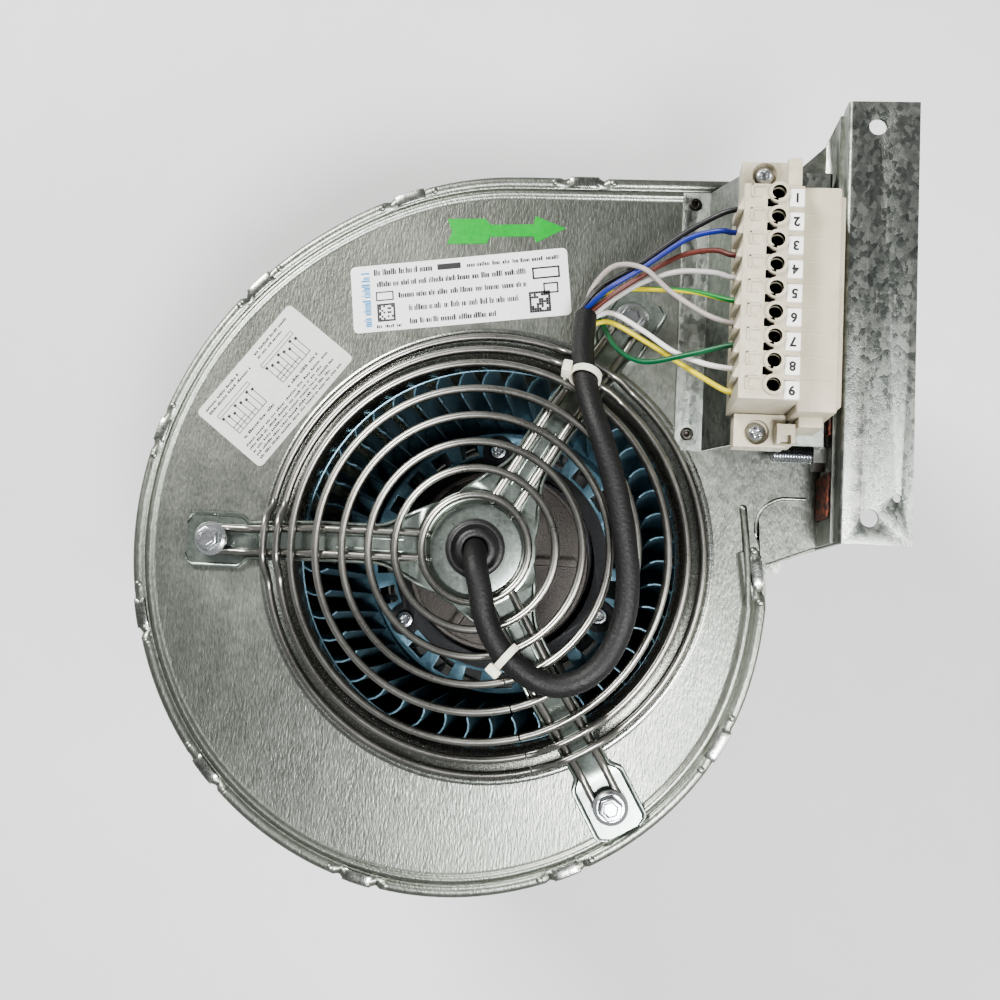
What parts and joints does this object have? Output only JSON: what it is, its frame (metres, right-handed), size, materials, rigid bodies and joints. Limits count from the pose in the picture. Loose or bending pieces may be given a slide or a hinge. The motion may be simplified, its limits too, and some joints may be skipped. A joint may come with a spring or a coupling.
{
  "type": "centrifugal blower",
  "caption": "Double-inlet centrifugal blower with galvanised scroll housing, external-rotor motor inside the bladed wheel, wire inlet guards, terminal strip and outlet mounting rails.",
  "frame": {"origin": "centre of the rear mounting rail's two bolt holes, on the rail's seating face", "axes": "+Z along the wheel axis towards the terminal side, +X towards the air outlet, +Y along the rails towards the scroll's straight top wall"},
  "size_m": [0.2966, 0.3036, 0.3155],
  "materials": {
    "galvanised_plate": "rolled zinc, fine grain",
    "galvanised_edge": "bright zinc edge",
    "spangled_zinc": "coarse zinc spangle",
    "seal": "speckled reddish-brown",
    "bolt_zinc": "bright zinc plate",
    "nut_zinc": "zinc plate",
    "spider_steel": "satin passivated zinc",
    "guard_wire": "satin plated wire",
    "terminal_plastic": "beige moulding",
    "tag_plastic": "white printed tag",
    "pole_metal": "nickel-plated screw",
    "black_rubber": "soft black rubber",
    "lead_black": "woven black sleeve",
    "wire_black": "insulation",
    "wire_blue": "insulation",
    "wire_brown": "insulation",
    "wire_pale_grey": "insulation",
    "wire_earth": "green and yellow insulation",
    "wire_grey": "insulation",
    "wire_green": "insulation",
    "wire_white": "insulation",
    "wire_yellow": "insulation",
    "tie_nylon": "natural nylon",
    "label_white": "satin film",
    "label_grey": "satin film",
    "arrow_green": "vinyl",
    "die_cast": "rough die casting",
    "lamination": "stacked sheet steel",
    "copper": "enamelled winding",
    "bearing_steel": "polished",
    "rotor_black": "black paint",
    "wheel_steel": "dark blue-grey sheet"
  },
  "bodies": {
    "housing": {"front_side_plate": "galvanised_plate", "rear_side_plate": "galvanised_plate", "scroll_wrapper": "galvanised_plate", "rim_tabs_front": "galvanised_edge", "rim_tabs_rear": "galvanised_edge", "front_inlet_ring": "galvanised_plate", "rear_inlet_ring": "galvanised_plate", "outlet_flange": "galvanised_plate", "tongue_plate": "galvanised_plate", "flange_seal_strip": "seal", "mounting_frame": "spangled_zinc", "frame_bolts": "bolt_zinc", "frame_nuts": "nut_zinc", "motor_spider": "spider_steel", "spider_bolts": "bolt_zinc", "weld_nuts": "nut_zinc", "front_guard_rings": "guard_wire", "front_guard_spokes": "guard_wire", "rear_guard_rings": "guard_wire", "rear_guard_spokes": "guard_wire", "rear_guard_bolts": "bolt_zinc", "terminal_bracket": "spangled_zinc", "bracket_rivets": "nut_zinc", "terminal_strip": "terminal_plastic", "terminal_plug": "terminal_plastic", "number_tags": "tag_plastic", "pole_screws": "pole_metal", "end_clamp_top": "terminal_plastic", "end_clamp_bottom": "terminal_plastic", "end_clamp_screws": "bolt_zinc", "cable_grommet": "black_rubber", "motor_lead": "lead_black", "lead_1_black": "wire_black", "lead_2_blue": "wire_blue", "lead_3_brown": "wire_brown", "lead_4_pale_grey": "wire_pale_grey", "lead_5_earth": "wire_earth", "lead_6_grey": "wire_grey", "lead_7_green": "wire_green", "lead_8_white": "wire_white", "lead_9_yellow": "wire_yellow", "cable_tie_upper": "tie_nylon", "cable_tie_lower": "tie_nylon", "rating_label": "label_white", "wiring_label": "label_grey", "direction_arrow": "arrow_green", "stator_flange": "die_cast", "stator_core": "lamination", "stator_windings": "copper", "front_bearing": "bearing_steel", "rear_bearing": "bearing_steel"},
    "wheel": {"rotor_can": "rotor_black", "rotor_core": "lamination", "rotor_shaft": "bearing_steel", "hub_disc": "wheel_steel", "front_blades": "wheel_steel", "rear_blades": "wheel_steel", "front_end_ring": "wheel_steel", "rear_end_ring": "wheel_steel", "impeller_screws": "nut_zinc"}
  },
  "joints": [
    {"name": "wheel_spin", "type": "hinge", "parent": "housing", "child": "wheel", "pos_m": [-0.14, -0.0895, 0.1425], "axis": [0, 0, 1], "continuous": true}
  ]
}
